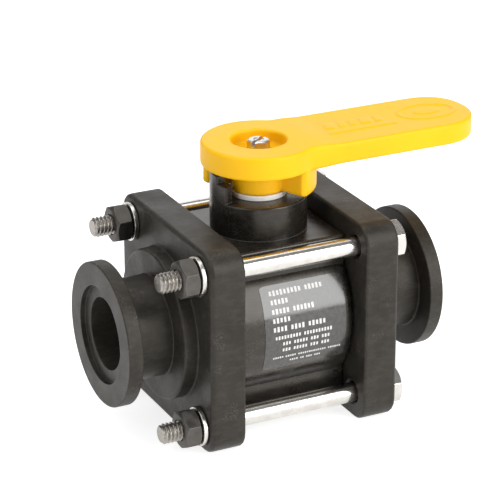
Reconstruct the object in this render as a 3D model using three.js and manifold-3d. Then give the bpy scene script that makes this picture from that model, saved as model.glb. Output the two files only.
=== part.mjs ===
// Bolted three-piece ball valve in black plastic, with round clamp flanges and a quarter-turn handle.
// Millimetres. X runs along the flow, from the inlet to the outlet, and Z along the stem.
// The pieces are drawn round the centre of the ball, then the whole valve is moved so that its origin is
// the middle of its footprint, on the plane that the two end plates stand on.
import * as THREE from 'three';
import { mergeVertices } from 'three/addons/utils/BufferGeometryUtils.js';
import Module from 'manifold-3d';

const wasm = await Module();
wasm.setup();

// ---- driving dimensions ------------------------------------------------------------------------------

const gap = 0.15;                 // small clearance between pieces that rest on each other
const runningGap = 0.3;           // clearance round a piece that turns or slides in another

const plate = { side: 65.8, corner: 6.6, inner: 20.5, outer: 32 };   // square end plates, |x| of their faces
const flange = { radius: 22.75, thickness: 4.7, face: 54.3, edge: 0.3 };   // round clamp flanges
const neck = { radius: 16 };
const boss = { radius: 23.8, face: 36.6, fillet: 1.2, edge: 0.6 };   // round step on the plate
const shoulder = { radius: 21.4, face: 39.6, halfWidth: 16 };        // cone on the boss, flat at the sides
const spigot = { radius: 18.2, face: 17.1 };                         // pilot that enters the body
const flowRadius = 11.4;
const gasketRecess = { radius: 15.5, depth: 1.8 };

const boltPitch = 49.6;                                              // square bolt pattern
const bolt = { radius: 3.1, end: -45.7, chamfer: 0.8, hole: 3.5, holeRim: 0.5 };
const boltHead = { acrossFlats: 11.1, height: 4 };
const nut = { acrossFlats: 11.1, height: 5.6 };
const hexEdge = { corner: 0.62, face: 0.45, slope: 35 };             // end cone, in widths across flats
const lockWasher = { inner: 3.35, outer: 6.2, thickness: 1.6, slit: 0.9 };

const barrel = { radius: 26.8, halfLength: 20.35, cavity: 18.5, edge: 2.2 };
const deck = { halfWidth: 20, height: 27 };                          // flats above and below the barrel
const bonnet = { radius: 15.2, top: 37.8, edge: 0.4 };
const stopTab = { inner: 11.9, start: 150, step: 186, end: 203, lowTop: 43.4, highTop: 45.8 };
const endSeal = { recess: 21.4, depth: 2.9, major: 19.85, minor: 1.2, place: 19 };

const ball = { radius: 17.5, slotWidth: 5.4, slotFloor: 14.2 };
const seat = { inner: 11.6, outer: 18.1, front: 9, back: 16.8 };
const seatSeal = { major: 14.9, minor: 0.95, place: 18.15 };
const seatGroove = { inner: 13.7, outer: 16.1, depth: 2.2 };

const stem = { radius: 5.2, square: 7.4, shaftTop: 39.4, top: 48.6 };
const collar = { radius: 6.9, bottom: 18.6, top: 21 };
const stemSeal = { heights: [26, 31], major: 4.65, minor: 0.7, groove: 3.8, width: 1.8 };
const tang = { thickness: 4.8, width: 10, bottom: 14.5 };
const thrustWasher = { inner: 5.6, outer: 8.9, top: 39.4 };

const head = { radius: 18, bottom: 47.8, top: 55.1 };                // round head of the handle
const lever = { halfWidth: 14.5, bottom: 48.4, top: 54.7, tip: 74 };  // its end is a half circle
const hub = { radius: 8.7, bottom: 39.6 };
const openLug = { radius: 17.4, start: 112, end: 148 };
const closedLug = { radius: head.radius, start: 295, end: 338 };
const screwRecess = { radius: 8.6, floor: 51.2 };
const screw = { shank: 2.1, hole: 2.4, acrossFlats: 6.35, top: 55, bottom: 41 };
const screwWasher = { radius: 4.1, top: 52.1 };
const screwSlot = { width: 1.2, depth: 1.4 };

const label = { from: -11, to: 17, lowAngle: -24, highAngle: 36, glue: 0.05, thickness: 0.25 };

// ---- materials ---------------------------------------------------------------------------------------

const material = (color, roughness, metalness) =>
  new THREE.MeshStandardMaterial({ color, roughness, metalness });
const blackPlastic = material(0x35332f, 0.5, 0);
const yellowPlastic = material(0xf5b90a, 0.45, 0);
const brightSteel = material(0xc4c0ba, 0.3, 1);
const greySteel = material(0x5a5957, 0.45, 1);
const whitePtfe = material(0xf1f0ec, 0.5, 0);
const brownSeal = material(0x3a2c24, 0.7, 0);
const blackFilm = material(0x2c2b2a, 0.2, 0);

// ---- shapes ------------------------------------------------------------------------------------------

// A geometry as a closed solid: positions only, shared corners merged, collapsed triangles dropped.
function solid(geometry) {
  geometry.deleteAttribute('normal');
  geometry.deleteAttribute('uv');
  const merged = mergeVertices(geometry, 1e-4);
  const corners = merged.index.array;
  const triVerts = [];
  for (let i = 0; i < corners.length; i += 3) {
    const [a, b, c] = corners.slice(i, i + 3);
    if (a !== b && b !== c && c !== a) triVerts.push(a, b, c);
  }
  const vertProperties = merged.attributes.position.array;
  const mesh = new wasm.Mesh({ numProp: 3, vertProperties, triVerts: new Uint32Array(triVerts) });
  return new wasm.Manifold(mesh);
}

const alongX = new THREE.Matrix4().makeRotationZ(-Math.PI / 2);
const alongZ = new THREE.Matrix4().makeRotationX(Math.PI / 2);

// A piece turned about an axis. The profile is a list of [radius, height], outer side first and upwards.
function turned(profile, axis, segments = 36) {
  const points = profile.map(([radius, height]) => new THREE.Vector2(radius, height));
  if (profile[0][0] > 0) points.push(points[0].clone());
  return solid(new THREE.LatheGeometry(points, segments).applyMatrix4(axis));
}

const rod = (radius, from, to, axis, segments) =>
  turned([[0, from], [radius, from], [radius, to], [0, to]], axis, segments);

const ring = (inner, outer, from, to, axis, segments) =>
  turned([[outer, from], [outer, to], [inner, to], [inner, from]], axis, segments);

const box = (x0, x1, y0, y1, z0, z1) =>
  solid(new THREE.BoxGeometry(x1 - x0, y1 - y0, z1 - z0)
    .translate((x0 + x1) / 2, (y0 + y1) / 2, (z0 + z1) / 2));

// An outline drawn in X and Y, raised along Z between two heights.
function raised(shape, from, to) {
  const options = { depth: to - from, bevelEnabled: false, curveSegments: 12 };
  return solid(new THREE.ExtrudeGeometry(shape, options).translate(0, 0, from));
}

// An outline drawn in Y and Z, run along X between two places.
function run(shape, from, to) {
  const axes = [[0, 1, 0], [0, 0, 1], [1, 0, 0]].map((axis) => new THREE.Vector3(...axis));
  const options = { depth: to - from, bevelEnabled: false, curveSegments: 5 };
  const lay = new THREE.Matrix4().makeBasis(...axes);
  return solid(new THREE.ExtrudeGeometry(shape, options).applyMatrix4(lay).translate(from, 0, 0));
}

const radians = THREE.MathUtils.degToRad;

function polar(radius, degrees) {
  return new THREE.Vector2(radius * Math.cos(radians(degrees)), radius * Math.sin(radians(degrees)));
}

// A slice of a ring between two angles, counted from +X towards +Y.
function sector(inner, outer, start, end) {
  const shape = new THREE.Shape();
  shape.absarc(0, 0, outer, radians(start), radians(end), false);
  shape.absarc(0, 0, inner, radians(end), radians(start), true);
  return shape;
}

// A hexagon with a corner at the top.
function hexagon(acrossFlats) {
  const cornerRadius = acrossFlats / 2 / Math.cos(Math.PI / 6);
  return new THREE.Shape([0, 1, 2, 3, 4, 5].map((side) => polar(cornerRadius, 90 + 60 * side)));
}

// A cone-edged blank that takes the sharp corners off one end of a hexagon, or both.
function chamferBlank(acrossFlats, from, to, bothEnds) {
  const wide = acrossFlats * hexEdge.corner;
  const flat = acrossFlats * hexEdge.face;
  const rise = (wide - flat) * Math.tan(radians(hexEdge.slope));
  const near = bothEnds ? [[0, from], [flat, from], [wide, from + rise]] : [[0, from], [wide, from]];
  return [...near, [wide, to - rise], [flat, to], [0, to]];
}

// ---- body --------------------------------------------------------------------------------------------

function makeBody() {
  const end = barrel.halfLength;
  const shell = turned([
    [0, -end], [barrel.radius - barrel.edge, -end], [barrel.radius, barrel.edge - end],
    [barrel.radius, end - barrel.edge], [barrel.radius - barrel.edge, end], [0, end],
  ], alongX, 48);
  const flats = box(-end, end, -deck.halfWidth, deck.halfWidth, -deck.height, deck.height);
  const tower = turned([
    [0, barrel.cavity], [bonnet.radius, barrel.cavity], [bonnet.radius, bonnet.top - bonnet.edge],
    [bonnet.radius - bonnet.edge, bonnet.top], [0, bonnet.top],
  ], alongZ, 40);
  const highTab = raised(sector(stopTab.inner, bonnet.radius, stopTab.start, stopTab.step),
    bonnet.top - 1, stopTab.highTop);
  const lowTab = raised(sector(stopTab.inner, bonnet.radius, stopTab.start, stopTab.end),
    bonnet.top - 1, stopTab.lowTop);
  const sealRecess = end - endSeal.depth;
  return shell.add(flats).add(tower).add(highTab).add(lowTab)
    .subtract(rod(barrel.cavity, -end - 1, end + 1, alongX))
    .subtract(rod(endSeal.recess, sealRecess, end + 1, alongX))
    .subtract(rod(endSeal.recess, -end - 1, -sealRecess, alongX))
    .subtract(rod(collar.radius + runningGap, ball.slotFloor, collar.top + runningGap, alongZ, 24))
    .subtract(rod(stem.radius + runningGap, collar.top, bonnet.top + 1, alongZ, 24));
}

// ---- adapters: plate, boss, neck and flange in one moulding, drawn at the outlet end -----------------

function roundedSquare(side, corner) {
  const half = side / 2;
  const shape = new THREE.Shape();
  const middle = half - corner;
  [[1, 1, 0], [-1, 1, 90], [-1, -1, 180], [1, -1, 270]].forEach(([y, z, start]) => {
    shape.absarc(y * middle, z * middle, corner, radians(start), radians(start + 90), false);
  });
  return shape;
}

const boltPlaces = [[-1, 1], [1, 1], [1, -1], [-1, -1]]
  .map(([y, z]) => [y * boltPitch / 2, z * boltPitch / 2]);

function makeAdapter() {
  const rear = flange.face - flange.thickness;
  const recessFloor = flange.face - gasketRecess.depth;
  const grooveFloor = spigot.face + seatGroove.depth;
  const tube = turned([
    [spigot.radius, spigot.face], [spigot.radius, plate.inner + 1],
    [boss.radius + boss.fillet, plate.outer - 1],
    [boss.radius + boss.fillet, plate.outer], [boss.radius, plate.outer + boss.fillet],
    [boss.radius, boss.face - boss.edge], [boss.radius - boss.edge, boss.face], [neck.radius, boss.face],
    [neck.radius, rear], [flange.radius - flange.edge, rear], [flange.radius, rear + flange.edge],
    [flange.radius, flange.face - flange.edge], [flange.radius - flange.edge, flange.face],
    [gasketRecess.radius, flange.face], [gasketRecess.radius, recessFloor], [flowRadius, recessFloor],
    [flowRadius, spigot.face], [seatGroove.inner, spigot.face], [seatGroove.inner, grooveFloor],
    [seatGroove.outer, grooveFloor], [seatGroove.outer, spigot.face],
  ], alongX);
  const coneRoot = boss.radius - boss.edge;
  const cone = turned([
    [flowRadius + 2, boss.face - 1], [coneRoot, boss.face - 1], [coneRoot, boss.face],
    [shoulder.radius, shoulder.face], [flowRadius + 2, shoulder.face],
  ], alongX);
  const tall = flange.radius * 2;
  const sideCut = box(0, flange.face, -shoulder.halfWidth, shoulder.halfWidth, -tall, tall);
  let adapter = run(roundedSquare(plate.side, plate.corner), plate.inner, plate.outer)
    .subtract(rod(spigot.radius - 2, plate.inner - 1, plate.outer + 1, alongX))
    .add(tube)
    .add(cone.intersect(sideCut));
  const holeMouth = bolt.hole + bolt.holeRim;
  const hole = turned([
    [0, plate.inner - 1], [holeMouth, plate.inner - 1], [holeMouth, plate.inner],
    [bolt.hole, plate.inner + bolt.holeRim], [bolt.hole, plate.outer + 1], [0, plate.outer + 1],
  ], alongX, 16);
  for (const [y, z] of boltPlaces) adapter = adapter.subtract(hole.translate([0, y, z]));
  return adapter;
}

// ---- bolts, nuts and washers, drawn on the X axis ----------------------------------------------------

function makeBolt() {
  const seatX = plate.outer + gap;
  const headEnd = seatX + boltHead.height;
  const hex = run(hexagon(boltHead.acrossFlats), seatX, headEnd)
    .intersect(turned(chamferBlank(boltHead.acrossFlats, seatX, headEnd, false), alongX, 20));
  const shank = turned([
    [0, bolt.end], [bolt.radius - bolt.chamfer, bolt.end], [bolt.radius, bolt.end + bolt.chamfer],
    [bolt.radius, seatX + 1], [0, seatX + 1],
  ], alongX, 20);
  return hex.add(shank);
}

function makeNut() {
  const outer = -plate.outer - gap - lockWasher.thickness - gap;
  return run(hexagon(nut.acrossFlats), outer - nut.height, outer)
    .intersect(turned(chamferBlank(nut.acrossFlats, outer - nut.height, outer, true), alongX, 20))
    .subtract(rod(bolt.radius + gap, outer - nut.height - 1, outer + 1, alongX, 20));
}

function makeLockWasher() {
  const outer = -plate.outer - gap;
  const inner = outer - lockWasher.thickness;
  const slit = box(inner - 1, outer + 1, -lockWasher.slit / 2, lockWasher.slit / 2, 0, lockWasher.outer + 1);
  return ring(lockWasher.inner, lockWasher.outer, inner, outer, alongX, 20).subtract(slit);
}

// ---- ball, seats, seals and stem ---------------------------------------------------------------------

function makeBall() {
  const reach = ball.radius + 1;
  const half = ball.slotWidth / 2;
  return solid(new THREE.SphereGeometry(ball.radius, 32, 16))
    .subtract(rod(flowRadius, -reach, reach, alongX))
    .subtract(box(-half, half, -reach, reach, ball.slotFloor, reach));
}

function makeSeat() {
  return ring(seat.inner, seat.outer, seat.front, seat.back, alongX)
    .subtract(solid(new THREE.SphereGeometry(ball.radius + runningGap, 32, 16)));
}

function makeSealRing(major, minor, place, axis) {
  const section = [0, 1, 2, 3, 4, 5].map((step) => polar(minor, step * 60));
  return turned(section.map((point) => [major + point.x, place + point.y]), axis, 28);
}

function makeStem() {
  const profile = [[0, collar.bottom], [collar.radius, collar.bottom], [collar.radius, collar.top],
    [stem.radius, collar.top]];
  for (const height of stemSeal.heights) {
    const [low, high] = [height - stemSeal.width / 2, height + stemSeal.width / 2];
    profile.push([stem.radius, low], [stemSeal.groove, low], [stemSeal.groove, high], [stem.radius, high]);
  }
  profile.push([stem.radius, stem.shaftTop], [0, stem.shaftTop]);
  const drive = stem.square / 2;
  const [halfThick, halfWide] = [tang.thickness / 2, tang.width / 2];
  return turned(profile, alongZ, 24)
    .add(box(-halfThick, halfThick, -halfWide, halfWide, tang.bottom, collar.bottom + 1))
    .add(box(-drive, drive, -drive, drive, stem.shaftTop - 1, stem.top))
    .subtract(rod(screw.hole, screw.bottom - 1, stem.top + 1, alongZ, 20));
}

// ---- handle and its screw ----------------------------------------------------------------------------

function leverOutline() {
  const shape = new THREE.Shape();
  shape.moveTo(0, lever.halfWidth);
  shape.lineTo(0, -lever.halfWidth);
  shape.absarc(lever.tip - lever.halfWidth, 0, lever.halfWidth, -Math.PI / 2, Math.PI / 2, false);
  return shape;
}

function makeHandle() {
  const socket = stem.square / 2 + runningGap;
  const web = { low: stem.top + runningGap, high: screwRecess.floor };
  const [openStop, closedStop] = [openLug, closedLug].map(({ radius, start, end }) =>
    raised(sector(hub.radius - 2, radius, start, end), hub.bottom, head.bottom + 1));
  return rod(head.radius, head.bottom, head.top, alongZ, 48)
    .add(raised(leverOutline(), lever.bottom, lever.top))
    .add(rod(hub.radius, hub.bottom, head.bottom + 1, alongZ, 32))
    .add(openStop)
    .add(closedStop)
    .subtract(box(-socket, socket, -socket, socket, hub.bottom - 1, web.low))
    .subtract(rod(screw.hole, web.low - 1, web.high + 1, alongZ, 20))
    .subtract(rod(screwRecess.radius, web.high, head.top + 1, alongZ));
}

function makeScrew() {
  const seatZ = screwRecess.floor + gap;
  const hexBottom = screwWasher.top - gap;
  const hex = raised(hexagon(screw.acrossFlats), hexBottom, screw.top)
    .intersect(turned(chamferBlank(screw.acrossFlats, hexBottom, screw.top, false), alongZ, 24));
  const halfSlot = screwSlot.width / 2;
  return rod(screwWasher.radius, seatZ, screwWasher.top, alongZ, 24)
    .add(hex)
    .add(rod(screw.shank, screw.bottom, seatZ + gap, alongZ, 20))
    .subtract(box(-screw.top, screw.top, -halfSlot, halfSlot, screw.top - screwSlot.depth, screw.top + 1));
}

// ---- label: a thin film on the front (-Y) of the barrel, counted in degrees up from level ------------

function makeLabel() {
  const inner = barrel.radius + label.glue;
  const slice = sector(inner, inner + label.thickness, 180 - label.highAngle, 180 - label.lowAngle);
  return run(slice, label.from, label.to);
}

// ---- assembly ----------------------------------------------------------------------------------------

const valve = new THREE.Group();
valve.position.set(-(lever.tip - flange.face) / 2, 0, plate.side / 2);
const housing = new THREE.Group();
const turning = new THREE.Group();
valve.add(housing, turning);

function geometryOf(manifold) {
  const mesh = manifold.getMesh();
  const geometry = new THREE.BufferGeometry();
  geometry.setAttribute('position', new THREE.BufferAttribute(mesh.vertProperties, mesh.numProp));
  geometry.setIndex(new THREE.BufferAttribute(mesh.triVerts, 1));
  geometry.computeVertexNormals();
  return geometry;
}

function put(group, name, geometry, finish) {
  const mesh = new THREE.Mesh(geometry, finish);
  mesh.name = name;
  group.add(mesh);
  return mesh;
}

put(housing, 'valve_body', geometryOf(makeBody()), blackPlastic);

// The inlet end is the outlet end turned half round about the stem.
const ends = [['inlet', Math.PI], ['outlet', 0]];
const endPieces = [
  ['adapter', makeAdapter(), blackPlastic],
  ['seat', makeSeat(), whitePtfe],
  ['seat_o_ring', makeSealRing(seatSeal.major, seatSeal.minor, seatSeal.place, alongX), brownSeal],
  ['body_o_ring', makeSealRing(endSeal.major, endSeal.minor, endSeal.place, alongX), brownSeal],
].map(([piece, shape, finish]) => [piece, geometryOf(shape), finish]);
for (const [end, turn] of ends) {
  for (const [piece, geometry, finish] of endPieces) {
    put(housing, `${end}_${piece}`, geometry, finish).rotation.z = turn;
  }
}

const fasteners = [
  ['bolt', geometryOf(makeBolt()), brightSteel],
  ['nut', geometryOf(makeNut()), greySteel],
  ['lock_washer', geometryOf(makeLockWasher()), brightSteel],
];
boltPlaces.forEach(([y, z], place) => {
  for (const [piece, geometry, finish] of fasteners) {
    put(housing, `${piece}_${place + 1}`, geometry, finish).position.set(0, y, z);
  }
});

const washer = ring(thrustWasher.inner, thrustWasher.outer, bonnet.top + gap, thrustWasher.top, alongZ);
put(housing, 'thrust_washer', geometryOf(washer), whitePtfe);
put(housing, 'label', geometryOf(makeLabel()), blackFilm);

put(turning, 'ball', geometryOf(makeBall()), blackPlastic);
put(turning, 'stem', geometryOf(makeStem()), brightSteel);
['lower', 'upper'].forEach((level, step) => {
  const seal = makeSealRing(stemSeal.major, stemSeal.minor, stemSeal.heights[step], alongZ);
  put(turning, `stem_o_ring_${level}`, geometryOf(seal), brownSeal);
});
put(turning, 'handle', geometryOf(makeHandle()), yellowPlastic);
put(turning, 'handle_screw', geometryOf(makeScrew()), brightSteel);

export default valve;
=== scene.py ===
from math import cos, degrees, pi, radians, sin, sqrt, tan

import bmesh
import bpy
from mathutils import Matrix, Vector


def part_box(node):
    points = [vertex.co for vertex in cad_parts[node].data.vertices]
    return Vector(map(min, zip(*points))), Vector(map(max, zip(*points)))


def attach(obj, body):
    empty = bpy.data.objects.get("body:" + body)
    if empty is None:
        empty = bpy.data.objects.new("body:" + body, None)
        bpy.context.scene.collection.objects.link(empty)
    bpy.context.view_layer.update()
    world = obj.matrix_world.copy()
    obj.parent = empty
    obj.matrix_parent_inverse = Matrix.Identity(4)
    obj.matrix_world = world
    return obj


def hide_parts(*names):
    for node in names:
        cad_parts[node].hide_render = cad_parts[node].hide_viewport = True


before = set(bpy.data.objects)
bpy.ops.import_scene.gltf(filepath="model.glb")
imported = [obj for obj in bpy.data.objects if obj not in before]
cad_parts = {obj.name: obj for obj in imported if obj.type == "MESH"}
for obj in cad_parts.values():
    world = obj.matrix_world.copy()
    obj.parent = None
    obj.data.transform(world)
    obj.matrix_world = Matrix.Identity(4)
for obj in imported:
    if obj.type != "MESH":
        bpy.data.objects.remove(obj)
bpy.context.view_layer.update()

# ---- Table, lamps and camera -------------------------------------------------------------------
# The valve stands on its two square plates on a sheet of pale card, under large soft lamps.
# The camera is a long lens, a little above the valve and to the left of square on.

mm = 0.001
body_low, body_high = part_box("valve_body")
plate_low, plate_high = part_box("inlet_adapter")
ball_centre = Vector((
    (body_low[0] + body_high[0]) / 2,
    (plate_low[1] + plate_high[1]) / 2,
    (plate_low[2] + plate_high[2]) / 2,
))


def lay_card():
    sheet = bpy.data.meshes.new("table_card")
    form = bmesh.new()
    bmesh.ops.create_grid(form, x_segments=24, y_segments=24, size=2.5)
    form.to_mesh(sheet)
    form.free()
    card = bpy.data.objects.new("table_card", sheet)
    bpy.context.collection.objects.link(card)
    paint = bpy.data.materials.new("pale_card")
    paint.use_nodes = True
    nodes, links = paint.node_tree.nodes, paint.node_tree.links
    shader = nodes["Principled BSDF"]
    shader.inputs["Roughness"].default_value = 0.9
    place = nodes.new("ShaderNodeTexCoord")
    fibre = nodes.new("ShaderNodeTexNoise")
    fibre.inputs["Scale"].default_value = 35
    tone = nodes.new("ShaderNodeValToRGB")
    tone.color_ramp.elements[0].color = (0.56, 0.56, 0.56, 1)
    tone.color_ramp.elements[1].color = (0.6, 0.6, 0.595, 1)
    shader.inputs["Emission Color"].default_value = (1, 1, 1, 1)
    shader.inputs["Emission Strength"].default_value = 0.8
    links.new(place.outputs["Object"], fibre.inputs["Vector"])
    links.new(fibre.outputs["Fac"], tone.inputs["Fac"])
    links.new(tone.outputs["Color"], shader.inputs["Base Color"])
    sheet.materials.append(paint)
    return card


def hang_lamp(name, place, size, watts):
    lamp = bpy.data.lights.new(name, "AREA")
    lamp.shape = "RECTANGLE"
    lamp.size, lamp.size_y = size
    lamp.energy = watts
    holder = bpy.data.objects.new(name, lamp)
    holder.location = ball_centre + Vector(place)
    holder.rotation_mode = "QUATERNION"
    holder.rotation_quaternion = (ball_centre - holder.location).to_track_quat("-Z", "Y")
    bpy.context.collection.objects.link(holder)


def stand_camera(azimuth, elevation, distance, focal_length, aside, above):
    a, e = radians(azimuth), radians(elevation)
    back = Vector((sin(a) * cos(e), -cos(a) * cos(e), sin(e)))
    right = Vector((cos(a), sin(a), 0))
    up = back.cross(right)
    camera = bpy.data.objects.new("camera", bpy.data.cameras.new("camera"))
    camera.data.lens = focal_length
    camera.data.sensor_width = 36
    camera.data.clip_start, camera.data.clip_end = 0.05, 20
    camera.matrix_world = Matrix((right, up, back)).transposed().to_4x4()
    camera.location = ball_centre + back * distance + right * aside + up * above
    bpy.context.collection.objects.link(camera)
    bpy.context.scene.camera = camera


lay_card()
stand_camera(azimuth=-26.5, elevation=22.56, distance=738 * mm, focal_length=168.3,
             aside=-2.6 * mm, above=16.7 * mm)
hang_lamp("overhead_softbox", (-0.1, 0.1, 0.9), (1.0, 0.8), 5.5)
hang_lamp("left_softbox", (-0.9, -0.35, 0.45), (0.6, 0.7), 2.2)
hang_lamp("right_softbox", (0.43, -0.8, 0.43), (0.5, 0.85), 8)
hang_lamp("back_softbox", (0.41, 0.83, 0.38), (0.8, 0.5), 1.6)
room = bpy.data.worlds.new("white_room")
room.use_nodes = True
room.node_tree.nodes["Background"].inputs["Color"].default_value = (1, 1, 1, 1)
room.node_tree.nodes["Background"].inputs["Strength"].default_value = 0.3
bpy.context.scene.world = room
bpy.context.scene.view_settings.view_transform = "Standard"

# ---- Valve body --------------------------------------------------------------------------------
# One moulding in black glass-filled polypropylene: a round barrel with flats above and below, a round
# bonnet for the stem, and a stop tab that stands on the bonnet's rim. Bored through and for the seals.


def arcs_at_corners(corners, closed=True, steps=5):
    """The outline through corners (x, y, radius), with an arc of that radius in each corner."""
    outline = []
    last = len(corners) - 1
    for i, (x, y, *radius) in enumerate(corners):
        here = Vector((x, y))
        if not radius or (not closed and i in (0, last)):
            outline.append(here)
            continue
        before = Vector(corners[i - 1][:2]) - here
        after = Vector(corners[(i + 1) % len(corners)][:2]) - here
        half = before.angle(after) / 2
        reach = min(radius[0] / tan(half), before.length * 0.499, after.length * 0.499)
        true_radius = reach * tan(half)
        start, end = here + before.normalized() * reach, here + after.normalized() * reach
        middle = here + (before.normalized() + after.normalized()).normalized() * (true_radius / sin(half))
        first, second = start - middle, end - middle
        swing = first.angle_signed(second)
        for step in range(steps + 1):
            turn = Matrix.Rotation(-swing * step / steps, 2)
            outline.append(middle + turn @ first)
    return outline


def new_piece(name, form):
    bmesh.ops.recalc_face_normals(form, faces=form.faces)
    mesh = bpy.data.meshes.new(name)
    form.to_mesh(mesh)
    form.free()
    piece = bpy.data.objects.new(name, mesh)
    bpy.context.collection.objects.link(piece)
    return piece


def along(axis, height, across, up):
    """A point at a height on the flow axis X or the stem axis Z, and a place across it."""
    return (height, across, up) if axis == "X" else (across, up, height)


def turned(name, profile, axis="X", steps=96):
    """A piece turned on a lathe. The profile (radius, height, corner) ends on the axis or closes."""
    outline = arcs_at_corners(profile, closed=profile[0][0] > 0)
    form = bmesh.new()
    rows = []
    for radius, height in outline:
        if radius < 1e-6:
            rows.append([form.verts.new(along(axis, height, 0, 0))])
            continue
        angles = [2 * pi * step / steps for step in range(steps)]
        rows.append([form.verts.new(along(axis, height, radius * cos(a), radius * sin(a))) for a in angles])
    pairs = list(zip(rows, rows[1:]))
    if profile[0][0] > 0:
        pairs.append((rows[-1], rows[0]))
    for low, high in pairs:
        for i in range(steps):
            j = (i + 1) % steps
            corners = [low[i % len(low)], low[j % len(low)], high[j % len(high)], high[i % len(high)]]
            distinct = [c for k, c in enumerate(corners) if c is not corners[k - 1]]
            if len(distinct) > 2:
                form.faces.new(distinct)
    return new_piece(name, form)


def slab(name, outline, low, high, low_edge, high_edge, axis="Z"):
    """A flat piece of this outline between two heights, with its edges rounded by these radii."""
    count = len(outline)
    inward = []
    for i, point in enumerate(outline):
        run = outline[(i + 1) % count] - outline[i - 1]
        inward.append(Vector((-run.y, run.x)).normalized())
    steps = 5
    turns = [pi / 2 * step / steps for step in range(steps + 1)]
    levels = [(low + low_edge * (1 - sin(a)), low_edge * (1 - cos(a))) for a in reversed(turns)]
    levels += [(high - high_edge * (1 - sin(a)), high_edge * (1 - cos(a))) for a in turns]
    form = bmesh.new()
    rings = []
    for height, inset in levels:
        places = [point + aim * inset for point, aim in zip(outline, inward)]
        rings.append([form.verts.new(along(axis, height, place.x, place.y)) for place in places])
    for under, over in zip(rings, rings[1:]):
        for i in range(count):
            form.faces.new((under[i - 1], under[i], over[i], over[i - 1]))
    form.faces.new(rings[0])
    form.faces.new(rings[-1])
    return new_piece(name, form)


def settle(piece):
    """The piece's modifiers become part of its mesh."""
    graph = bpy.context.evaluated_depsgraph_get()
    piece.data = bpy.data.meshes.new_from_object(piece.evaluated_get(graph))
    piece.modifiers.clear()


def work(piece, how, tools):
    """Welds tools onto the piece, or cuts them out of it, or keeps only what lies inside them."""
    for tool in tools:
        step = piece.modifiers.new(how, "BOOLEAN")
        step.operation, step.solver, step.object = how, "EXACT", tool
        settle(piece)
        bpy.data.objects.remove(tool)
    return piece


def weld(piece, *tools):
    return work(piece, "UNION", tools)


def cut(piece, *tools):
    return work(piece, "DIFFERENCE", tools)


def bring_home(piece, name, paint, sharp=40):
    """Takes a piece drawn in millimetres round the ball to its place, smooths and paints it."""
    piece.name = piece.data.name = name
    piece.data.transform(Matrix.Translation(ball_centre) @ Matrix.Scale(mm, 4))
    piece.data.shade_smooth()
    piece.data.set_sharp_from_angle(angle=radians(sharp))
    level = piece.modifiers.new("flat faces stay flat", "WEIGHTED_NORMAL")
    level.keep_sharp = True
    piece.data.materials.clear()
    piece.data.materials.append(paint)
    return piece


def begin_paint(name, metallic, roughness):
    paint = bpy.data.materials.new(name)
    paint.use_nodes = True
    shader = paint.node_tree.nodes["Principled BSDF"]
    shader.inputs["Metallic"].default_value = metallic
    shader.inputs["Roughness"].default_value = roughness
    return paint, shader


def grain(paint, size, detail=4, stretch=(1, 1, 1), shift=0):
    """A noise whose spots are about this size in metres, stretched along the axes."""
    nodes, links = paint.node_tree.nodes, paint.node_tree.links
    place = nodes.new("ShaderNodeTexCoord")
    lay = nodes.new("ShaderNodeMapping")
    lay.inputs["Scale"].default_value = [1 / (size * amount) for amount in stretch]
    lay.inputs["Location"].default_value = (shift, shift * 0.7, shift * 1.3)
    noise = nodes.new("ShaderNodeTexNoise")
    noise.inputs["Scale"].default_value = 1
    noise.inputs["Detail"].default_value = detail
    links.new(place.outputs["Object"], lay.inputs["Vector"])
    links.new(lay.outputs["Vector"], noise.inputs["Vector"])
    return noise.outputs["Fac"]


def between(paint, source, low, high, start=0.3, end=0.7):
    """Turns a 0 to 1 value into a number between low and high."""
    node = paint.node_tree.nodes.new("ShaderNodeMapRange")
    node.inputs["From Min"].default_value, node.inputs["From Max"].default_value = start, end
    node.inputs["To Min"].default_value, node.inputs["To Max"].default_value = low, high
    paint.node_tree.links.new(source, node.inputs["Value"])
    return node.outputs["Result"]


def blend_colours(paint, share, first, second):
    """Mixes two colours, each given as numbers or as another node's output."""
    node = paint.node_tree.nodes.new("ShaderNodeMix")
    node.data_type = "RGBA"
    paint.node_tree.links.new(share, node.inputs["Factor"])
    for socket, colour in ((node.inputs[6], first), (node.inputs[7], second)):
        if isinstance(colour, tuple):
            socket.default_value = (*colour, 1)
        else:
            paint.node_tree.links.new(colour, socket)
    return node.outputs[2]


def add_relief(paint, shader, source, depth, strength=0.6, under=None):
    """Fine relief this deep in metres, over another relief if there is one."""
    node = paint.node_tree.nodes.new("ShaderNodeBump")
    node.inputs["Distance"].default_value = depth
    node.inputs["Strength"].default_value = strength
    paint.node_tree.links.new(source, node.inputs["Height"])
    if under:
        paint.node_tree.links.new(under, node.inputs["Normal"])
    paint.node_tree.links.new(node.outputs["Normal"], shader.inputs["Normal"])
    return node.outputs["Normal"]


def rounded_edge_mask(paint, radius, start=0.02, end=0.3):
    """1 on outer and inner edges within this radius, 0 on open faces."""
    nodes, links = paint.node_tree.nodes, paint.node_tree.links
    rounded = nodes.new("ShaderNodeBevel")
    rounded.samples = 6
    rounded.inputs["Radius"].default_value = radius
    true = nodes.new("ShaderNodeNewGeometry")
    match = nodes.new("ShaderNodeVectorMath")
    match.operation = "DOT_PRODUCT"
    links.new(rounded.outputs["Normal"], match.inputs[0])
    links.new(true.outputs["Normal"], match.inputs[1])
    return between(paint, match.outputs["Value"], 1, 0, 1 - end, 1 - start)


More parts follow.
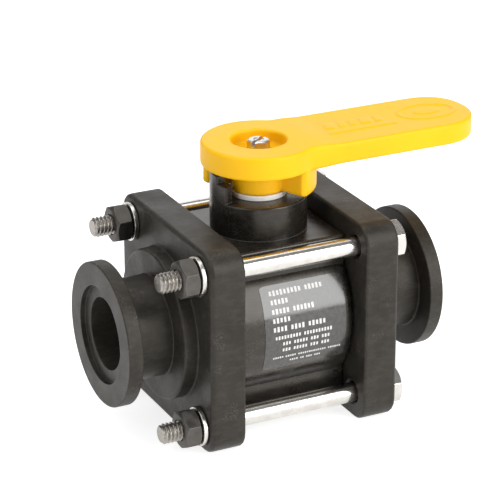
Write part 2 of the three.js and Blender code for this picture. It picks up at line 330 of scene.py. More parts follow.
def black_moulding(name, dark, pale, smooth, rough, gloss):
    """Glass-filled polypropylene: black-grey with flow marks, glass specks, scuffs, and paler edges that
    are part wear, part painted highlight.
    """
    paint, shader = begin_paint(name, 0, rough)
    shader.inputs["Specular IOR Level"].default_value = gloss
    shader.inputs["Specular Tint"].default_value = (1, 0.94, 0.86, 1)
    clouds = grain(paint, 9 * mm, 5)
    flow_marks = grain(paint, 1.6 * mm, 4, (2.5, 1, 1), 4)
    specks = grain(paint, 0.4 * mm, 2, (1, 1, 1), 9)
    scuff_places = between(paint, grain(paint, 7 * mm, 2, (1, 1, 1), 15), 0, 1, 0.56, 0.72)
    scratches = grain(paint, 0.5 * mm, 3, (1, 4, 1), 21)
    base = blend_colours(paint, between(paint, clouds, 0, 1), dark, pale)
    base = blend_colours(paint, between(paint, flow_marks, 0, 0.14, 0.45, 0.75), base, (0.11, 0.103, 0.092))
    base = blend_colours(paint, between(paint, specks, 0, 0.22, 0.58, 0.8), base, (0.13, 0.123, 0.112))
    scratch_share = between(paint, scratches, 0, 0.45, 0.5, 0.66)
    scuffed = blend_colours(paint, scratch_share, base, (0.12, 0.113, 0.103))
    base = blend_colours(paint, scuff_places, base, scuffed)
    # Paler rounded edges: part wear, part painted highlight along the edges.
    base = blend_colours(paint, rounded_edge_mask(paint, 0.6 * mm), base, (0.13, 0.124, 0.113))
    paint.node_tree.links.new(base, shader.inputs["Base Color"])
    paint.node_tree.links.new(between(paint, clouds, smooth, rough), shader.inputs["Roughness"])
    coarse = add_relief(paint, shader, flow_marks, 0.03 * mm, 0.6)
    add_relief(paint, shader, specks, 0.025 * mm, 0.6, coarse)
    return paint


body_plastic = black_moulding(
    "smooth_polypropylene", dark=(0.009, 0.0077, 0.0062), pale=(0.016, 0.0138, 0.0115),
    smooth=0.22, rough=0.34, gloss=0.5,
)

barrel_radius = 26.8
barrel_end = 20.35
deck_half_width, deck_height = 20, 27
bonnet_radius, bonnet_top = 15.2, 37.8
seal_radius, seal_depth = 21.4, 2.9
tab_inner, tab_start, tab_step, tab_end = 11.9, 150, 186, 203
tab_low, tab_high = 43.4, 45.8


def rectangle(half_x, half_y, radius):
    corners = [(half_x, -half_y), (half_x, half_y), (-half_x, half_y), (-half_x, -half_y)]
    return arcs_at_corners([(x, y, radius) for x, y in corners])


def ring_slice(inner, outer, start, end, corner):
    """The outline of a slice of a ring between two angles in degrees, with rounded corners."""
    steps = 16
    easing = degrees(corner / outer)
    outline = []
    for radius, a, b in ((outer, start, end), (inner, end, start)):
        aim = 1 if b > a else -1
        sign = 1 if radius == outer else -1
        trim = easing * outer / radius
        first, last = a + aim * trim, b - aim * trim
        near = radius - sign * corner
        outline.append(Vector((near * cos(radians(a)), near * sin(radians(a)))))
        for step in range(steps + 1):
            turn = radians(first + (last - first) * step / steps)
            outline.append(Vector((radius * cos(turn), radius * sin(turn))))
        outline.append(Vector((near * cos(radians(b)), near * sin(radians(b)))))
    return outline


def mould_body():
    end = barrel_end
    barrel = turned("barrel", [
        (0, -end), (barrel_radius, -end, 2.6), (barrel_radius, end, 2.6), (0, end),
    ], steps=128)
    flats = slab("flats", rectangle(end, deck_half_width, 1.5), -deck_height, deck_height, 1.2, 1.2)
    bonnet = turned("bonnet", [
        (0, 19), (bonnet_radius, 19), (bonnet_radius, bonnet_top, 0.55), (0, bonnet_top),
    ], "Z")
    tall = slab("tall_tab", ring_slice(tab_inner, bonnet_radius, tab_start, tab_step, 0.5),
                bonnet_top - 2, tab_high, 0.1, 0.6)
    low = slab("low_tab", ring_slice(tab_inner, bonnet_radius, tab_start + 1, tab_end, 0.5),
               bonnet_top - 2, tab_low, 0.1, 0.5)
    cavity = turned("cavity", [(0, -end - 2), (18.5, -end - 2), (18.5, end + 2), (0, end + 2)])
    near_recess = turned("near_recess", [
        (0, -end - 2), (seal_radius, -end - 2), (seal_radius, seal_depth - end), (0, seal_depth - end),
    ])
    far_recess = turned("far_recess", [
        (0, end - seal_depth), (seal_radius, end - seal_depth), (seal_radius, end + 2), (0, end + 2),
    ])
    stem_bore = turned("stem_bore", [
        (0, 14.2), (7.2, 14.2), (7.2, 21.3), (5.5, 21.3), (5.5, bonnet_top - 0.5), (6.5, bonnet_top + 0.5),
        (0, bonnet_top + 0.5),
    ], "Z")
    body = weld(barrel, flats, bonnet, tall, low)
    return cut(body, cavity, near_recess, far_recess, stem_bore)


body = bring_home(mould_body(), "body_moulding", body_plastic)
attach(body, "housing")
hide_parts("valve_body")

# ---- End adapters ------------------------------------------------------------------------------
# Two like mouldings in the same black plastic, one at each end. Each has a square plate for the through
# bolts, a round boss, a neck, a clamp flange with a gasket recess, and a pilot that enters the body.

plate_half, plate_corner = 32.9, 6.6
plate_inner, plate_outer = 20.5, 32.0
bolt_place = 24.8
neck_radius, boss_radius, boss_face = 16, 23.8, 36.6
shoulder_radius, shoulder_face, shoulder_half = 21.4, 39.6, 16
flange_radius, flange_rear, flange_face = 22.75, 49.6, 54.3
bore_radius = 11.4
gasket_radius, gasket_depth = 15.5, 1.8


def mould_adapter():
    plate = slab("plate", rectangle(plate_half, plate_half, plate_corner), plate_inner, plate_outer,
                 0.9, 1.5, "X")
    hub = turned("hub", [
        (0, 17.1), (18.2, 17.1, 0.4), (18.2, 24), (26.4, 24), (26.4, plate_outer),
        (boss_radius, plate_outer, 0.5), (boss_radius, boss_face, 0.9), (neck_radius, boss_face, 0.5),
        (neck_radius, flange_rear, 0.6), (flange_radius, flange_rear, 0.45),
        (flange_radius, flange_face, 0.45), (0, flange_face),
    ], steps=128)
    cone = turned("cone", [
        (0, boss_face - 2), (boss_radius - 0.7, boss_face - 2), (boss_radius - 0.7, boss_face),
        (shoulder_radius, shoulder_face, 1.2), (neck_radius - 1, shoulder_face + 1.2),
        (0, shoulder_face + 1.2),
    ], steps=128)
    sides = slab("sides", rectangle(flange_radius * 1.5, shoulder_half, 2), -30, 30, 0, 0)
    sides.data.transform(Matrix.Rotation(pi / 2, 4, "Z") @ Matrix.Rotation(pi / 2, 4, "X"))
    work(cone, "INTERSECT", [sides])
    bore = turned("bore", [
        (0, 15), (bore_radius, 15), (bore_radius, flange_face - gasket_depth, 0.3),
        (gasket_radius, flange_face - gasket_depth, 0.3), (gasket_radius, flange_face, 0.25),
        (17, flange_face + 0.6), (0, flange_face + 0.6),
    ], steps=128)
    groove = turned("groove", [(13.7, 15), (16.1, 15), (16.1, 19.3, 0.2), (13.7, 19.3, 0.2)])
    adapter = cut(weld(plate, hub, cone), bore, groove)
    for y in (-bolt_place, bolt_place):
        for z in (-bolt_place, bolt_place):
            hole = turned("hole", [
                (0, plate_inner - 1), (4.2, plate_inner - 1), (4.2, plate_inner), (3.5, plate_inner + 0.6),
                (3.5, plate_outer - 0.3), (4, plate_outer + 0.2), (0, plate_outer + 0.2),
            ], steps=40)
            hole.data.transform(Matrix.Translation((0, y, z)))
            cut(adapter, hole)
    return adapter


plate_plastic = black_moulding(
    "matt_polypropylene", dark=(0.0155, 0.0138, 0.0112), pale=(0.0285, 0.0255, 0.021),
    smooth=0.38, rough=0.54, gloss=0.28,
)
outlet = mould_adapter()
inlet = bpy.data.objects.new("inlet", outlet.data.copy())
bpy.context.collection.objects.link(inlet)
inlet.data.transform(Matrix.Rotation(pi, 4, "Z"))
for adapter, end in ((inlet, "inlet"), (outlet, "outlet")):
    bring_home(adapter, f"{end}_adapter_moulding", plate_plastic)
    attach(adapter, "housing")
    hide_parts(f"{end}_adapter")

# ---- Seats -------------------------------------------------------------------------------------
# Two rings turned from white fluoropolymer, dished to the ball. Each is pushed onto the ball by an
# O-ring behind it, in a groove in the adapter's pilot.


def white_fluoropolymer():
    paint, shader = begin_paint("white_fluoropolymer", 0, 0.4)
    lathe_marks = grain(paint, 0.25 * mm, 2, (1, 1, 1))
    clouds = grain(paint, 5 * mm, 3, (1, 1, 1), 3)
    base = blend_colours(paint, between(paint, clouds, 0, 1), (0.8, 0.8, 0.775), (0.88, 0.88, 0.865))
    paint.node_tree.links.new(base, shader.inputs["Base Color"])
    paint.node_tree.links.new(between(paint, clouds, 0.34, 0.46), shader.inputs["Roughness"])
    add_relief(paint, shader, lathe_marks, 0.01 * mm, 0.5)
    return paint


white_ptfe = white_fluoropolymer()


def turn_seat():
    dish_radius = 17.6
    seat = turned("seat", [(11.6, 9), (18.1, 9, 0.5), (18.1, 16.8, 0.3), (11.6, 16.8, 0.4)])
    dish = [(dish_radius * sin(radians(a)), -dish_radius * cos(radians(a))) for a in range(0, 181, 4)]
    return cut(seat, turned("dish", dish))


for end, turn in (("outlet", 0), ("inlet", pi)):
    seat = turn_seat()
    seat.data.transform(Matrix.Rotation(turn, 4, "Z"))
    bring_home(seat, f"{end}_seat_ring", white_ptfe)
    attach(seat, "housing")
    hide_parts(f"{end}_seat")

# ---- O-rings -----------------------------------------------------------------------------------
# Six moulded rubber rings: one behind each seat, one round each adapter's pilot, and two on the stem.
# Each keeps the thin flash line of its mould round the outside.


def seal_rubber():
    paint, shader = begin_paint("dark_rubber", 0, 0.55)
    bloom = grain(paint, 1.5 * mm, 4)
    base = blend_colours(paint, between(paint, bloom, 0, 1), (0.02, 0.013, 0.01), (0.045, 0.034, 0.028))
    paint.node_tree.links.new(base, shader.inputs["Base Color"])
    paint.node_tree.links.new(between(paint, bloom, 0.5, 0.68), shader.inputs["Roughness"])
    add_relief(paint, shader, grain(paint, 0.2 * mm, 2, shift=5), 0.01 * mm, 0.5)
    return paint


rubber = seal_rubber()
o_rings = [
    ("outlet_seat_o_ring", "housing", 14.9, 0.95, 18.15, "X"),
    ("inlet_seat_o_ring", "housing", 14.9, 0.95, -18.15, "X"),
    ("outlet_body_o_ring", "housing", 19.85, 1.2, 19, "X"),
    ("inlet_body_o_ring", "housing", 19.85, 1.2, -19, "X"),
    ("stem_o_ring_lower", "turning", 4.65, 0.7, 26, "Z"),
    ("stem_o_ring_upper", "turning", 4.65, 0.7, 31, "Z"),
]


def mould_o_ring(major, minor, place, axis):
    section = []
    steps = 20
    for step in range(steps):
        turn = 2 * pi * step / steps
        flash = 0.02 if step == 0 else 0
        section.append((major + (minor + flash) * cos(turn) - 0.01, place + minor * sin(turn)))
    return turned("o_ring", section, axis, 72)


for node, body_name, major, minor, place, axis in o_rings:
    o_ring = bring_home(mould_o_ring(major, minor, place, axis), f"{node}_moulding", rubber, 80)
    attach(o_ring, body_name)
    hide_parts(node)

# ---- Ball --------------------------------------------------------------------------------------
# A turned and polished ball of black polypropylene with a straight bore. A slot across its top, square
# to the bore, takes the stem's tang and lets the ball float onto the downstream seat.


def polished_black():
    paint, shader = begin_paint("polished_polypropylene", 0, 0.22)
    clouds = grain(paint, 6 * mm, 4)
    base = blend_colours(paint, between(paint, clouds, 0, 1), (0.018, 0.017, 0.015), (0.03, 0.028, 0.025))
    paint.node_tree.links.new(base, shader.inputs["Base Color"])
    paint.node_tree.links.new(between(paint, clouds, 0.18, 0.3), shader.inputs["Roughness"])
    add_relief(paint, shader, grain(paint, 0.3 * mm, 2, (4, 1, 1), 2), 0.006 * mm, 0.4)
    return paint


def turn_ball():
    radius, bore_reach = 17.5, 42
    round_side = [(radius * sin(pi * k / 48), -radius * cos(pi * k / 48)) for k in range(5, 44)]
    ball = turned("ball", [(0, -17.4), (3, -17.3), *round_side, (3, 17.3), (0, 17.4)])
    bore = turned("ball_bore", [
        (0, -bore_reach), (bore_radius, -bore_reach), (bore_radius, bore_reach), (0, bore_reach),
    ])
    slot = slab("ball_slot", rectangle(2.7, 20, 0.4), 14.2, 20, 0.3, 0.3)
    return cut(ball, bore, slot)


ball = bring_home(turn_ball(), "bored_ball", polished_black())
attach(ball, "turning")
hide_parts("ball")

# ---- Stem --------------------------------------------------------------------------------------
# Turned from stainless bar: a flat tang in the ball's slot, a collar that keeps it in the body, two
# O-ring grooves, and a square on top that fits the handle and is tapped for its screw.


def bright_stainless(name, low, high, draw=(1, 1, 1)):
    paint, shader = begin_paint(name, 1, low)
    clouds = grain(paint, 4 * mm, 4)
    lines = grain(paint, 0.12 * mm, 2, draw, 7)
    base = blend_colours(paint, between(paint, clouds, 0, 1), (0.56, 0.535, 0.5), (0.68, 0.66, 0.63))
    paint.node_tree.links.new(base, shader.inputs["Base Color"])
    paint.node_tree.links.new(between(paint, lines, low, high), shader.inputs["Roughness"])
    add_relief(paint, shader, lines, 0.004 * mm, 0.5)
    return paint


turned_steel = bright_stainless("turned_stainless", 0.22, 0.34)


def turn_stem():
    shank, groove_floor, half_groove = 5.2, 3.8, 0.9
    profile = [(0, 18.6), (6.9, 18.6, 0.3), (6.9, 21, 0.3), (shank, 21, 0.2)]
    for place in (26, 31):
        low, high = place - half_groove, place + half_groove
        profile += [(shank, low, 0.15), (groove_floor, low, 0.2)]
        profile += [(groove_floor, high, 0.2), (shank, high, 0.15)]
    profile += [(shank, 39.4, 0.3), (0, 39.4)]
    stem = turned("stem", profile, "Z", 64)
    tang = slab("tang", rectangle(2.4, 5, 0.5), 14.5, 20, 0.3, 0.1)
    square = slab("square", rectangle(3.7, 3.7, 0.4), 38, 48.6, 0.1, 0.4)
    tapped = turned("tapped", [(0, 40), (2.4, 40), (2.4, 48.2), (2.9, 48.8), (0, 48.8)], "Z", 32)
    return cut(weld(stem, tang, square), tapped)


stem = bring_home(turn_stem(), "turned_stem", turned_steel)
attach(stem, "turning")
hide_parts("stem")

# ---- Thrust washer -----------------------------------------------------------------------------
# A white fluoropolymer washer on the bonnet's top, round the stem. The handle's hub turns on it.

washer = turned("washer", [
    (5.6, bonnet_top, 0.2), (8.9, bonnet_top, 0.25), (8.9, 39.4, 0.3), (5.6, 39.4, 0.2),
], "Z")
bring_home(washer, "thrust_washer_ring", white_ptfe)
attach(washer, "housing")
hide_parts("thrust_washer")

# ---- Through bolts -----------------------------------------------------------------------------
# Four quarter-inch bolts in bright stainless clamp both adapters to the body. The heads are forged on
# the outlet side. The shanks are drawn smooth, and the threads are rolled where they leave the inlet.

pitch = 1.27
thread_radius, thread_root = 3.17, 2.5
bolt_end, thread_start = -45.7, -30.0
shank_radius = 3.1
head_height = 4
drawn_steel = bright_stainless("drawn_stainless", 0.13, 0.24, (60, 1, 1))


def rolled_steel():
    """Thread flanks: a little oily and dull, with the crests painted brighter: part rubbing, part painted
    highlight.
    """
    paint, shader = begin_paint("rolled_stainless", 1, 0.36)
    clouds = grain(paint, 1.2 * mm, 4)
    base = blend_colours(paint, between(paint, clouds, 0, 1), (0.27, 0.25, 0.225), (0.4, 0.375, 0.345))
    # Brighter crests: part rubbing, part painted highlight on the crests.
    base = blend_colours(paint, rounded_edge_mask(paint, 0.25 * mm, 0.05, 0.5), base, (0.6, 0.58, 0.55))
    paint.node_tree.links.new(base, shader.inputs["Base Color"])
    paint.node_tree.links.new(between(paint, clouds, 0.3, 0.44), shader.inputs["Roughness"])
    add_relief(paint, shader, grain(paint, 0.25 * mm, 2, shift=4), 0.01 * mm, 0.5)
    return paint


thread_steel = rolled_steel()


def hexagon(across_flats):
    reach = across_flats / 2 / cos(pi / 6)
    turns = [radians(90 + 60 * k) for k in range(6)]
    corners = [(reach * cos(turn), reach * sin(turn), 0.45) for turn in turns]
    return arcs_at_corners(corners, steps=4)


def hex_blank(name, across_flats, low, high, both_ends, axis="X"):
    """A hexagon whose corners are taken off by a cone at the high end, or at both."""
    blank = slab(name, hexagon(across_flats), low, high, 0.05, 0.05, axis)
    wide, flat = across_flats * 0.62, across_flats * 0.45
    rise = (wide - flat) * tan(radians(35))
    start = [(0, low), (flat, low, 1.2), (wide, low + rise)] if both_ends else [(0, low), (wide, low)]
    cone = turned("cone", [*start, (wide, high - rise), (flat, high, 1.2), (0, high)], axis)
    return work(blank, "INTERSECT", [cone])


def rolled_thread(name, start, end):
    """A right-hand thread: each row's radius follows the helix, and runs out at the chamfered end."""
    steps, rows_per_turn = 48, 12
    form = bmesh.new()
    count = round((end - start) / pitch * rows_per_turn)
    rows = []
    for row in range(count + 1):
        x = start + (end - start) * row / count
        limit = 2.45 + (x - start) * 0.9
        ring = []
        for step in range(steps):
            turn = 2 * pi * step / steps
            phase = ((x - start) / pitch + step / steps) % 1
            flank = min(1, max(0, 1.25 - abs(phase - 0.5) * 2.9))
            radius = min(thread_root + (thread_radius - thread_root) * flank, limit)
            ring.append(form.verts.new((x, radius * cos(turn), radius * sin(turn))))
        rows.append(ring)
    for low, high in zip(rows, rows[1:]):
        for i in range(steps):
            form.faces.new((low[i - 1], low[i], high[i], high[i - 1]))
    form.faces.new(rows[0])
    form.faces.new(rows[-1])
    return new_piece(name, form)


def forge_bolt():
    head_seat = plate_outer + 0.02
    shank = turned("shank", [
        (0, thread_start - 0.4), (thread_root, thread_start - 0.4), (shank_radius, thread_start + 0.6, 0.3),
        (shank_radius, head_seat, 0.3), (5.2, head_seat, 0.1), (5.2, head_seat + 0.3), (0, head_seat + 0.3),
    ], steps=64)
    head = hex_blank("head", 11.1, head_seat + 0.25, head_seat + head_height, False)
    return weld(rolled_thread("thread", bolt_end, thread_start), shank, head)


bolt_places = [(-1, 1), (1, 1), (1, -1), (-1, -1)]
bolt_turns = (0, 154, 231, 308)
thread_limit = ball_centre.x + (thread_start + 0.5) * mm
forged = forge_bolt()
for number, (y, z) in enumerate(bolt_places, 1):
    bolt = bpy.data.objects.new("bolt", forged.data.copy())
    bpy.context.collection.objects.link(bolt)
    bolt.data.transform(Matrix.Rotation(radians(bolt_turns[number - 1]), 4, "X"))
    bolt.data.transform(Matrix.Translation((0, y * bolt_place, z * bolt_place)))
    bring_home(bolt, f"through_bolt_{number}", drawn_steel, 30)
    bolt.data.materials.append(thread_steel)
    for face in bolt.data.polygons:
        face.material_index = int(face.center.x < thread_limit)
    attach(bolt, "housing")
    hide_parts(f"bolt_{number}")
bpy.data.objects.remove(forged)

# ---- Spring lock washers -----------------------------------------------------------------------
# A split ring of square bright wire under each nut, squeezed nearly flat, with its ends a little apart.


def coil_lock_washer():
    steps, inner, outer = 60, 3.35, 6.2
    form = bmesh.new()
    section = arcs_at_corners([
        (inner, -0.8, 0.15), (outer, -0.7, 0.25), (outer, 0.7, 0.25), (inner, 0.8, 0.15),
    ], steps=3)
    rings = []
    for step in range(steps + 1):
        share = step / steps
        turn = radians(5 + 350 * share)
        lift = 0.25 * (share - 0.5)
        rings.append([form.verts.new((across_x + lift, radius * sin(turn), radius * cos(turn)))
                      for radius, across_x in section])
    for low, high in zip(rings, rings[1:]):
        for i in range(len(section)):
            form.faces.new((low[i - 1], low[i], high[i], high[i - 1]))
    form.faces.new(rings[0])
    form.faces.new(rings[-1])
    return new_piece("lock_washer", form)


washer_middle = -plate_outer - 0.93
for number, (y, z) in enumerate(bolt_places, 1):
    split_ring = coil_lock_washer()
    split_ring.data.transform(Matrix.Rotation(radians(130 * number), 4, "X"))
    split_ring.data.transform(Matrix.Translation((washer_middle, y * bolt_place, z * bolt_place)))
    bring_home(split_ring, f"spring_lock_washer_{number}", turned_steel)
    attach(split_ring, "housing")
    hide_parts(f"lock_washer_{number}")

# ---- Nuts --------------------------------------------------------------------------------------
# Plain hexagon nuts, cold formed and left a dull grey, chamfered on both faces. About five threads of
# each bolt stand out beyond its nut.


def dull_steel():
    paint, shader = begin_paint("dull_grey_steel", 1, 0.5)
    clouds = grain(paint, 2.5 * mm, 5)
    pits = grain(paint, 0.3 * mm, 3, shift=6)
    base = blend_colours(paint, between(paint, clouds, 0, 1), (0.085, 0.079, 0.073), (0.13, 0.122, 0.114))
    # Paler nut edges: part wear, part painted highlight along the edges.
    base = blend_colours(paint, rounded_edge_mask(paint, 0.35 * mm), base, (0.25, 0.24, 0.225))
    paint.node_tree.links.new(base, shader.inputs["Base Color"])
    paint.node_tree.links.new(between(paint, clouds, 0.44, 0.6), shader.inputs["Roughness"])
    add_relief(paint, shader, pits, 0.02 * mm, 0.5)
    return paint


def form_nut(seat, height):
    nut = hex_blank("nut", 11.1, seat - height, seat, True)
    hole = turned("nut_hole", [
        (0, seat - height - 1), (3.5, seat - height - 0.2), (3.2, seat - height + 0.4), (3.2, seat - 0.4),
        (3.5, seat + 0.2), (0, seat + 1),
    ], steps=48)
    return cut(nut, hole)


nut_steel = dull_steel()
nut_turns = (0, 8, -5, 4)
for number, (y, z) in enumerate(bolt_places, 1):
    nut = form_nut(seat=-plate_outer - 1.85, height=5.6)
    nut.data.transform(Matrix.Rotation(radians(nut_turns[number - 1]), 4, "X"))
    nut.data.transform(Matrix.Translation((0, y * bolt_place, z * bolt_place)))
    bring_home(nut, f"hex_nut_{number}", nut_steel)
    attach(nut, "housing")
    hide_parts(f"nut_{number}")

# ---- Handle ------------------------------------------------------------------------------------
# Moulded in yellow nylon: a round head with a hub on the stem's square, two lugs that meet the stop
# tab, and a flat lever with a plain oval and bars raised on top. Every edge is softly rounded.

head_radius, head_bottom, head_top = 18, 47.6, 55.1
lever_half, lever_tip = 14.5, 74
lever_step = 0.4
hub_radius, hub_bottom = 8.7, 39.6
recess_radius, recess_floor = 8.6, 51.2
oval_middle, relief_height = 59.5, 0.3
lever_bars = [(25, 1.6), (29.4, 1.2), (33.2, 1.2), (37.8, 1.9), (42.2, 1.2)]


def yellow_nylon():
    paint, shader = begin_paint("yellow_nylon", 0, 0.42)
    shader.inputs["Specular IOR Level"].default_value = 0.2
    clouds = grain(paint, 18 * mm, 4)
    texture = grain(paint, 0.4 * mm, 3, shift=3)
    base = blend_colours(paint, between(paint, clouds, 0, 1), (0.88, 0.475, 0.003), (0.93, 0.515, 0.005))
    base = blend_colours(paint, rounded_edge_mask(paint, 0.7 * mm), base, (0.9, 0.56, 0.04))
    paint.node_tree.links.new(base, shader.inputs["Base Color"])
    paint.node_tree.links.new(between(paint, clouds, 0.36, 0.5), shader.inputs["Roughness"])
    add_relief(paint, shader, texture, 0.015 * mm, 0.5)
    return paint


def handle_outline():
    """Round head and lever seen from above, anticlockwise from where they meet on the near side."""
    hollow = 4
    middle_y = lever_half + hollow
    middle_x = sqrt((head_radius + hollow) ** 2 - middle_y ** 2)
    meet = degrees(Vector((middle_x, middle_y)).angle(Vector((1, 0))))
    near = [Vector((middle_x + hollow * cos(a), hollow * sin(a) - middle_y))
            for a in (radians(180 - meet - (90 - meet) * k / 6) for k in range(7))]
    tip_middle = lever_tip - lever_half
    tip = [Vector((tip_middle + lever_half * cos(a), lever_half * sin(a)))
           for a in (radians(a) for a in range(-90, 0, 5))]
    tip += [Vector((tip_middle + lever_half * cos(a) ** 0.84, lever_half * sin(a) ** 0.84))
            for a in (radians(a) for a in range(0, 90, 5))]
    tip.append(Vector((tip_middle, lever_half)))
    far = [Vector((point.x, -point.y)) for point in reversed(near)]
    head = [Vector((head_radius * cos(radians(a)), head_radius * sin(radians(a))))
            for a in [meet + (360 - 2 * meet) * k / 72 for k in range(1, 72)]]
    return [*near, *tip, *far, *head]


def oval_gap(x, y, middle, half_x, half_y):
    """How far a point is outside an oval, in millimetres, about."""
    reach = sqrt(((x - middle) / half_x) ** 2 + (y / half_y) ** 2)
    return (reach - 1) * min(half_x, half_y)


def raised_marks(x, y):
    """Height of the plain decoration on the lever's top: an oval ring, a row of bars and a long line."""
    edges = [abs(oval_gap(x, y, oval_middle, 9.6, 6.4)) - 0.5, oval_gap(x, y, oval_middle, 4.6, 2.4)]
    for middle, half_bar in lever_bars:
        edges.append(max(abs(x - middle - (y - 1) * 0.25) - half_bar, abs(y - 1) - 2.3))
    edges.append(max(abs(x - 34) - 12, abs(y + 5) - 0.5))
    nearest = min(edges)
    return relief_height * min(1, max(0, 0.5 - nearest / 0.6))


def mould_handle():
    """Head, hub and lugs in one, then a lever a little thinner than the head, with its raised marks."""
    blank = slab("handle", handle_outline(), head_bottom, head_top, 0.7, 0.9)
    hub = turned("hub", [(0, hub_bottom), (hub_radius, hub_bottom, 0.4), (hub_radius, head_bottom, 1.2),
                         (11, head_bottom), (11, 50), (0, 50)], "Z")
    near_lug = slab("near_lug", ring_slice(6, head_radius - 0.05, 295, 338, 1.2), hub_bottom, 50, 1.2, 0.1)
    far_lug = slab("far_lug", ring_slice(6, 17.4, 112, 148, 1.2), hub_bottom, 50, 1.2, 0.1)
    handle = weld(blank, hub, near_lug, far_lug)
    recess = turned("recess", [(0, recess_floor), (recess_radius, recess_floor, 0.5),
                               (recess_radius, head_top - 0.5), (recess_radius + 1, head_top + 0.5),
                               (0, head_top + 0.5)], "Z")
    socket = slab("socket", rectangle(4, 4, 0.4), hub_bottom - 1, 48.9, 0, 0.3)
    screw_hole = turned("screw_hole", [(0, 47), (2.4, 47), (2.4, 52), (0, 52)], "Z", 48)
    cut(handle, recess, socket, screw_hole)
    even = handle.modifiers.new("even skin", "REMESH")
    even.mode, even.voxel_size = "VOXEL", 0.34
    settle(handle)
    soften = handle.modifiers.new("soften", "SMOOTH")
    soften.factor, soften.iterations = 0.5, 3
    settle(handle)
    for vertex in handle.data.vertices:
        x, y, z = vertex.co
        reach = min(1, max(0, (x - 14) / 8))
        share = reach * reach * (3 - 2 * reach)
        if z > head_top - 0.5 and x > 18:
            vertex.co.z += raised_marks(x, y)
        if z > 47.2:
            above = (z - head_bottom) / (head_top - head_bottom)
            vertex.co.z += share * lever_step * (1 - 2 * above)
    return handle


handle = bring_home(mould_handle(), "handle_moulding", yellow_nylon(), 180)
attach(handle, "turning")
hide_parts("handle")

# ---- Handle screw ------------------------------------------------------------------------------
# A slotted hexagon washer-head screw in bright steel, cold headed with its washer in one piece. It is
# driven down through the floor of the handle's recess into the stem.


def head_screw():
    seat, flat_top, crown = recess_floor + 0.02, 52.05, 55
    shank, face = 2.1, 4.1
    under = turned("under", [
        (0, 42), (1.6, 42), (shank, 43, 0.2), (shank, seat, 0.2), (face, seat, 0.2),
        (face, flat_top - 0.25, 0.25), (3.4, flat_top + 0.1), (0, flat_top + 0.1),
    ], "Z", 64)
    crown_blank = hex_blank("crown", 6.35, flat_top - 0.2, crown, False, "Z")
    slot = slab("slot", rectangle(8, 0.6, 0.2), crown - 1.4, crown + 2, 0.05, 0.05)
    slot.data.transform(Matrix.Rotation(radians(25), 4, "Z"))
    dimple = turned("dimple", [
        (0, crown - 0.35), (1.4, crown - 0.25), (1.9, crown + 0.3), (0, crown + 0.3),
    ], "Z", 48)
    screw = cut(weld(under, crown_blank), slot, dimple)
    screw.data.transform(Matrix.Rotation(radians(10), 4, "Z"))
    return screw


screw = bring_home(head_screw(), "washer_head_screw", bright_stainless("headed_steel", 0.2, 0.4))
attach(screw, "turning")
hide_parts("handle_screw")

# ---- Label -------------------------------------------------------------------------------------
# A gloss black film stuck round the front of the barrel. Rows of plain white marks are printed on it,
# where a maker would print text.

label_left, label_right = -11.0, 17.0
label_low, label_high = -24.0, 36.0
film_thickness = 0.12


def on_barrel(x, degrees_up, lift):
    reach = barrel_radius + lift
    return (x, -reach * cos(radians(degrees_up)), reach * sin(radians(degrees_up)))


def wrap(name, outline, low, high):
    """A thin film of this outline, in millimetres across and degrees up, wrapped on the barrel."""
    form = bmesh.new()
    flat = [form.verts.new((point.x, point.y, 0)) for point in outline]
    form.faces.new(flat)
    for degree in range(-40, 60, 2):
        everything = form.verts[:] + form.edges[:] + form.faces[:]
        bmesh.ops.bisect_plane(form, geom=everything, plane_co=(0, degree, 0), plane_no=(0, 1, 0))
    sheet = bmesh.ops.extrude_face_region(form, geom=form.faces[:])
    top = {item for item in sheet["geom"] if isinstance(item, bmesh.types.BMVert)}
    for vertex in form.verts:
        vertex.co = on_barrel(vertex.co.x, vertex.co.y, high if vertex in top else low)
    return new_piece(name, form)


def gloss_film():
    paint, shader = begin_paint("gloss_black_film", 0, 0.15)
    shader.inputs["Specular IOR Level"].default_value = 0.8
    dust = grain(paint, 1.2 * mm, 4)
    dust_share = between(paint, dust, 0, 1, 0.4, 0.7)
    base = blend_colours(paint, dust_share, (0.036, 0.034, 0.031), (0.062, 0.058, 0.053))
    paint.node_tree.links.new(base, shader.inputs["Base Color"])
    paint.node_tree.links.new(between(paint, dust, 0.12, 0.2), shader.inputs["Roughness"])
    add_relief(paint, shader, grain(paint, 6 * mm, 2, shift=8), 0.06 * mm, 0.5)
    return paint


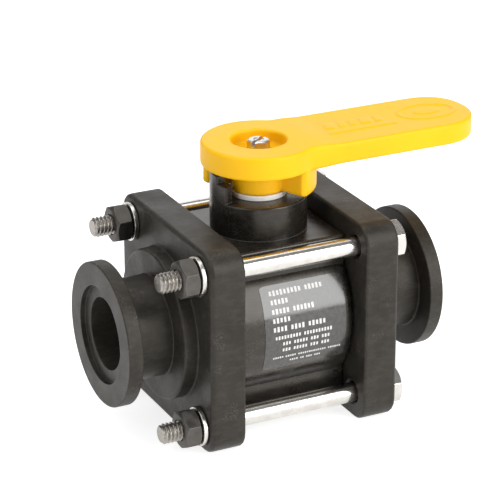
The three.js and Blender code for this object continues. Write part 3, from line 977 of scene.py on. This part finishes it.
def white_ink():
    paint, shader = begin_paint("white_ink", 0, 0.3)
    wear = grain(paint, 0.5 * mm, 3)
    base = blend_colours(paint, between(paint, wear, 0, 1), (0.6, 0.59, 0.57), (0.74, 0.73, 0.71))
    paint.node_tree.links.new(base, shader.inputs["Base Color"])
    paint.node_tree.links.new(between(paint, wear, 0.25, 0.4), shader.inputs["Roughness"])
    add_relief(paint, shader, wear, 0.005 * mm, 0.3)
    return paint


half_width = (label_right - label_left) / 2
half_rise = (label_high - label_low) / 2
film_outline = [point + Vector(((label_left + label_right) / 2, (label_low + label_high) / 2))
                for point in rectangle(half_width, half_rise, 2)]
film = bring_home(wrap("film", film_outline, 0.02, film_thickness), "label_film", gloss_film())
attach(film, "housing")
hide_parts("label")

# Each row: its middle and its rise in degrees, its left end, the pace of its marks, and the marks in
# each word.
printed_rows = [
    (30.5, 3.6, -8.2, 1.25, (9, 5)),
    (24.5, 3.6, -8.2, 1.25, (5,)),
    (18.3, 3.6, -8.2, 1.25, (5, 6)),
    (12.3, 3.6, -8.2, 1.25, (5,)),
    (6.3, 3.6, -8.2, 1.25, (4, 4, 5)),
    (0.2, 2.6, -7.6, 1.0, (9, 10)),
    (-4.5, 2.6, -5.0, 1.0, (3, 5, 3, 3)),
    (-9.2, 2.6, -5.0, 1.0, (3, 5, 3, 3)),
    (-14.8, 1.5, -8.0, 0.75, (5, 5, 13, 6)),
    (-18.6, 1.5, -2.0, 0.75, (4, 2, 3, 3)),
]
ink = white_ink()
print_bars = []
for middle, rise, left, pace, words in printed_rows:
    x = left
    for length in words:
        for mark in range(length):
            bar = [point + Vector((x + pace * 0.36, middle))
                   for point in rectangle(pace * 0.3, rise * (0.42 + 0.08 * (mark % 2)), 0.08)]
            print_bars.append(wrap("bar", bar, film_thickness + 0.005, film_thickness + 0.03))
            x += pace
        x += pace * 0.8
with bpy.context.temp_override(active_object=print_bars[0], selected_editable_objects=print_bars):
    bpy.ops.object.join()
bars = bring_home(print_bars[0], "label_print", ink)
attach(bars, "housing")
